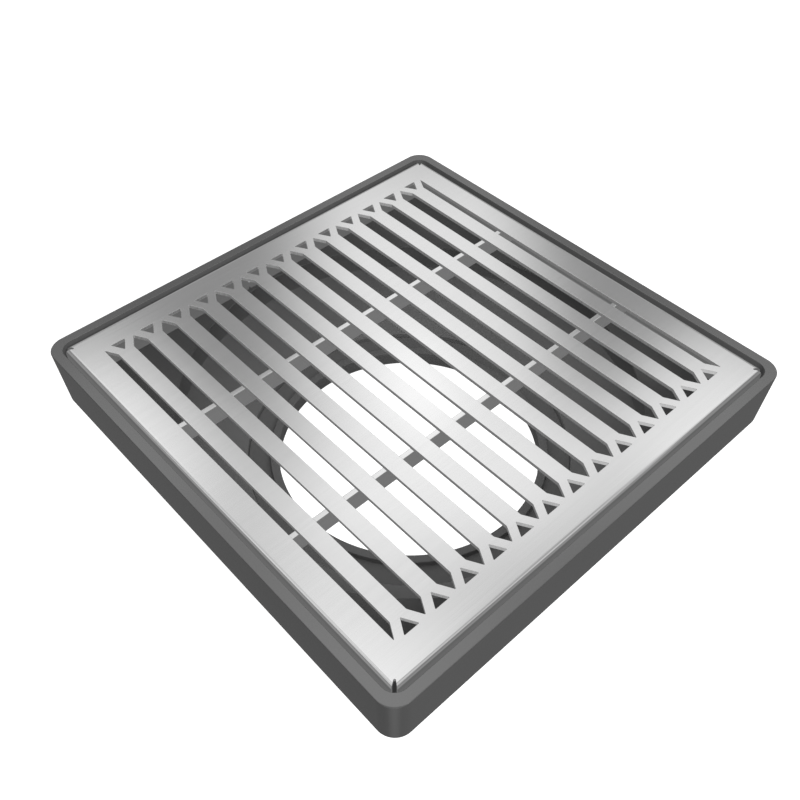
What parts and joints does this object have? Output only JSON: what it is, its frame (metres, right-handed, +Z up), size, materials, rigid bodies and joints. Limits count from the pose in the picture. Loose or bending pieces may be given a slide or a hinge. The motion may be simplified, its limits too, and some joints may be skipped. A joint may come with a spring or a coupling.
{
  "type": "floor drain grate",
  "caption": "Square floor drain top: moulded plastic tray with a round sump and central outlet, and a lift-out slotted steel grate with folded sides.",
  "frame": {"origin": "centre of the lowest face, under the middle of the square rim", "axes": "+Z up, from the outlet to the grate; X and Y along the sides of the square, the grate's slots along Y and its cross ribs along X"},
  "size_m": [0.2006, 0.2006, 0.0592],
  "materials": {
    "tray_plastic": "fine grained moulded plastic, dark grey",
    "ring_plastic": "smooth moulded plastic, dark grey",
    "gasket_rubber": "matt black rubber",
    "brushed_sheet": "line brushed across the slots, satin",
    "rib_steel": "mill finish strip, satin"
  },
  "bodies": {
    "tray": {"tray_body": "tray_plastic", "outlet_ring": "ring_plastic", "outlet_gasket": "gasket_rubber"},
    "grate": {"grate_plate": "brushed_sheet", "cross_rib_far": "rib_steel", "cross_rib_near": "rib_steel"}
  },
  "joints": [
    {"name": "grate_lift", "type": "slide", "parent": "tray", "child": "grate", "axis": [0, 0, 1], "range_m": [0, 0.06]}
  ]
}
